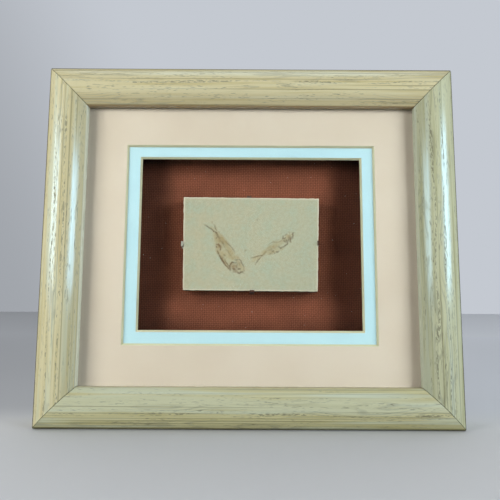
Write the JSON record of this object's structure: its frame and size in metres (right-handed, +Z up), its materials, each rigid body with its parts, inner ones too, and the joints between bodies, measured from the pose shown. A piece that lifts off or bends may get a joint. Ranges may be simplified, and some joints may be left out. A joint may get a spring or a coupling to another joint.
{
  "type": "framed fossil fish slab",
  "caption": "Deep wooden shadow-box frame with glass, double mat and linen-covered board, holding a small limestone slab with fossil fish; stands on its lower rail or hangs flat.",
  "frame": {"origin": "centre of the bounding box at floor level, under the bottom rail", "axes": "+Z up, -Y towards the viewer (the glass side), +X to the viewer's right, along the frame's width"},
  "size_m": [0.3, 0.0496, 0.2613],
  "materials": {
    "pickled_wood": "white-pickled open-grain hardwood moulding under satin varnish",
    "glazing": "clear picture glass with a little dust",
    "top_mat": "peach mat board, matt, with a cream bevel",
    "under_mat": "pale blue-white mat board, matt, with a cream bevel",
    "spacer": "white foam board strip",
    "rust_linen": "rust-brown coarse linen laid on board",
    "limestone": "split fine limestone, matt, fossils brown",
    "clip": "small bent plated clip",
    "backing_board": "brown pressed backing board",
    "plated_steel": "zinc and brass plated pressed steel"
  },
  "bodies": {
    "root": {"rail_top": "pickled_wood", "rail_bottom": "pickled_wood", "rail_left": "pickled_wood", "rail_right": "pickled_wood", "glazing": "glazing", "top_mat": "top_mat", "under_mat": "under_mat", "spacer_top": "spacer", "spacer_bottom": "spacer", "spacer_left": "spacer", "spacer_right": "spacer", "linen_board": "rust_linen", "fossil_slab": "limestone", "clip_top": "clip", "clip_right": "clip", "clip_bottom": "clip", "clip_left": "clip", "backing_board": "backing_board", "hanger": "plated_steel", "hanger_nail_left": "plated_steel", "hanger_nail_right": "plated_steel", "point_top_1": "plated_steel", "point_top_2": "plated_steel", "point_top_3": "plated_steel", "point_bottom_1": "plated_steel", "point_bottom_2": "plated_steel", "point_bottom_3": "plated_steel", "point_left_1": "plated_steel", "point_left_2": "plated_steel", "point_right_1": "plated_steel", "point_right_2": "plated_steel"}
  },
  "joints": []
}
